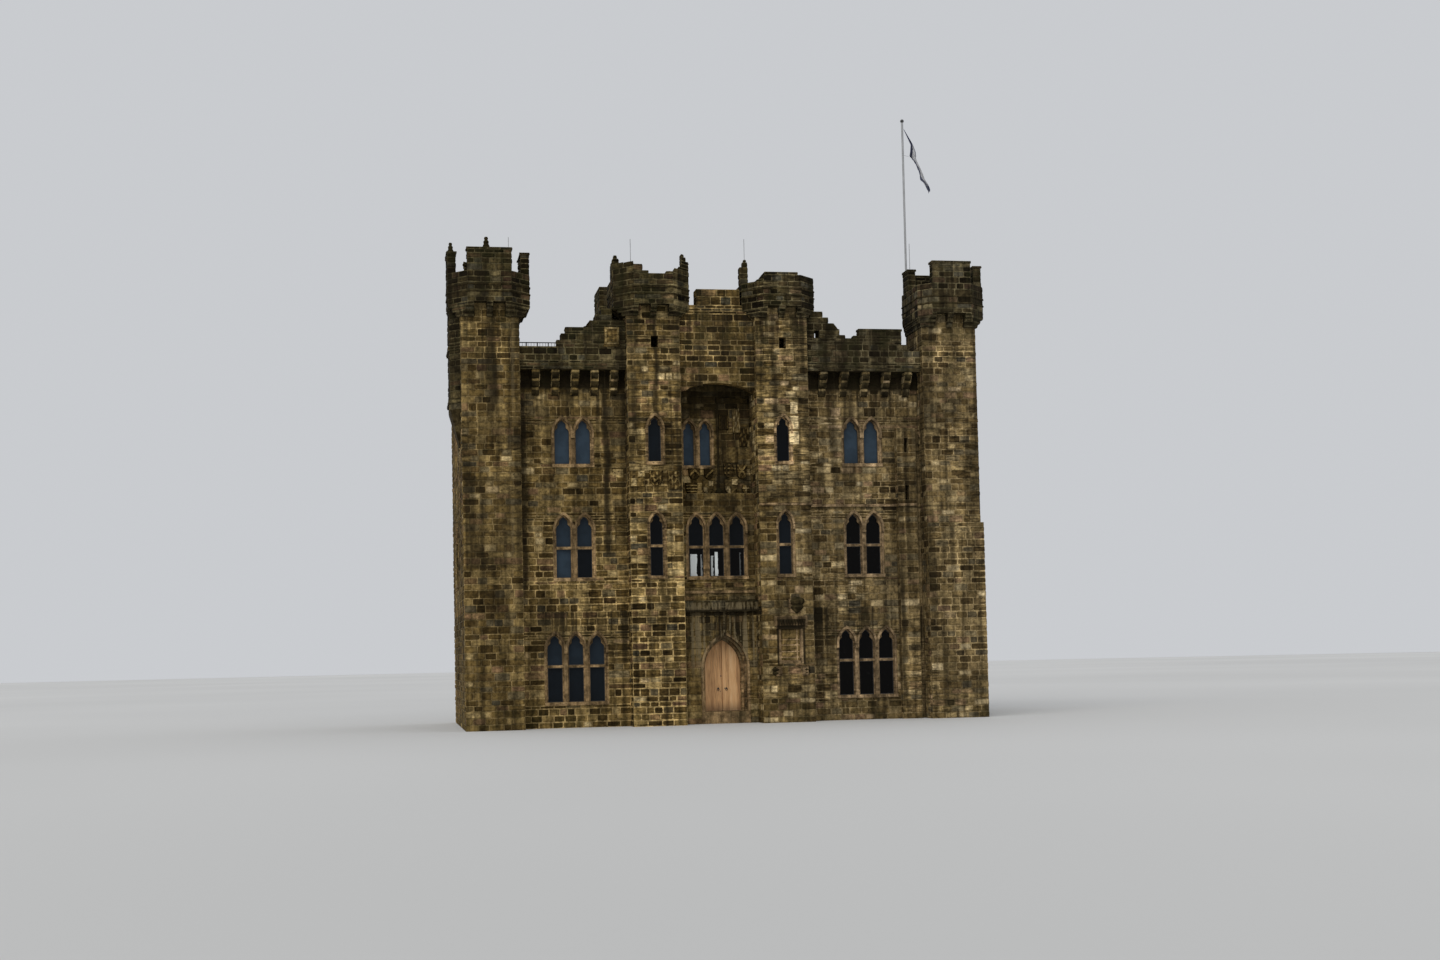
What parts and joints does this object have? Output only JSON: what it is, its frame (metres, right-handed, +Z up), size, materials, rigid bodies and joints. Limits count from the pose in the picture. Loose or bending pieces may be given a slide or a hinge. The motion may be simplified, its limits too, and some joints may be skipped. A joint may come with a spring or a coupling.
{
  "type": "castle keep",
  "caption": "Rectangular sandstone keep with crowned corner turrets, a gate tower with a deep arched recess, pointed windows and an arched door in hinged leaves.",
  "frame": {"origin": "middle of the outline at ground level", "axes": "+Z up, the gate front faces -Y, +X to the right seen from the front"},
  "size_m": [21.98, 11.58, 25.56],
  "materials": {
    "sandstone": "matte",
    "weathered_sandstone": "matte",
    "dressed_sandstone": "matte",
    "floor_stone": "matte",
    "oak": "matte",
    "iron": "satin",
    "window_glass": "gloss",
    "pole_paint": "satin",
    "flag_cloth": "matte"
  },
  "bodies": {
    "keep": {"corner_turret_left": "sandstone", "corner_turret_right": "sandstone", "corner_crown_left": "weathered_sandstone", "corner_crown_right": "weathered_sandstone", "gate_turret_left": "sandstone", "gate_turret_right": "sandstone", "gate_crown_left": "weathered_sandstone", "gate_crown_right": "weathered_sandstone", "gate_rear_crowns": "weathered_sandstone", "bay_wall_left": "sandstone", "bay_wall_right": "sandstone", "bay_parapet_left": "weathered_sandstone", "bay_parapet_right": "weathered_sandstone", "bay_corbels": "weathered_sandstone", "entrance_wall_left": "sandstone", "entrance_wall_right": "sandstone", "entrance_head": "sandstone", "door_surround": "dressed_sandstone", "entrance_ledge": "weathered_sandstone", "hall_wall": "sandstone", "chamber_wall": "sandstone", "recess_arch": "sandstone", "side_wall_left": "sandstone", "side_wall_right": "sandstone", "rear_wall": "sandstone", "side_parapets": "weathered_sandstone", "rear_parapet": "weathered_sandstone", "stair_turret": "weathered_sandstone", "ground_floor": "floor_stone", "first_floor": "floor_stone", "second_floor": "floor_stone", "main_roof": "floor_stone", "gate_roof": "floor_stone", "gate_upper_walls": "sandstone", "window_stone_ground": "dressed_sandstone", "window_stone_first": "dressed_sandstone", "window_stone_second": "dressed_sandstone", "glass_ground": "window_glass", "glass_first": "window_glass", "glass_second": "window_glass", "string_courses": "dressed_sandstone", "niche": "dressed_sandstone", "roof_stairs": "weathered_sandstone", "door_pins": "iron", "flagpole": "pole_paint", "flag": "flag_cloth", "roof_rail": "iron", "lightning_rods": "pole_paint", "figures": "weathered_sandstone"},
    "leaf_left": {"door_leaf_left": "oak", "door_handle_left": "iron"},
    "leaf_right": {"door_leaf_right": "oak", "door_handle_right": "iron"}
  },
  "joints": [
    {"name": "door_left", "type": "hinge", "parent": "keep", "child": "leaf_left", "pos_m": [-0.875, -3.3887, 0.48], "axis": [0, 0, 1], "range_deg": [0, 90]},
    {"name": "door_right", "type": "hinge", "parent": "keep", "child": "leaf_right", "pos_m": [0.715, -3.3887, 0.48], "axis": [0, 0, -1], "range_deg": [0, 90]}
  ]
}
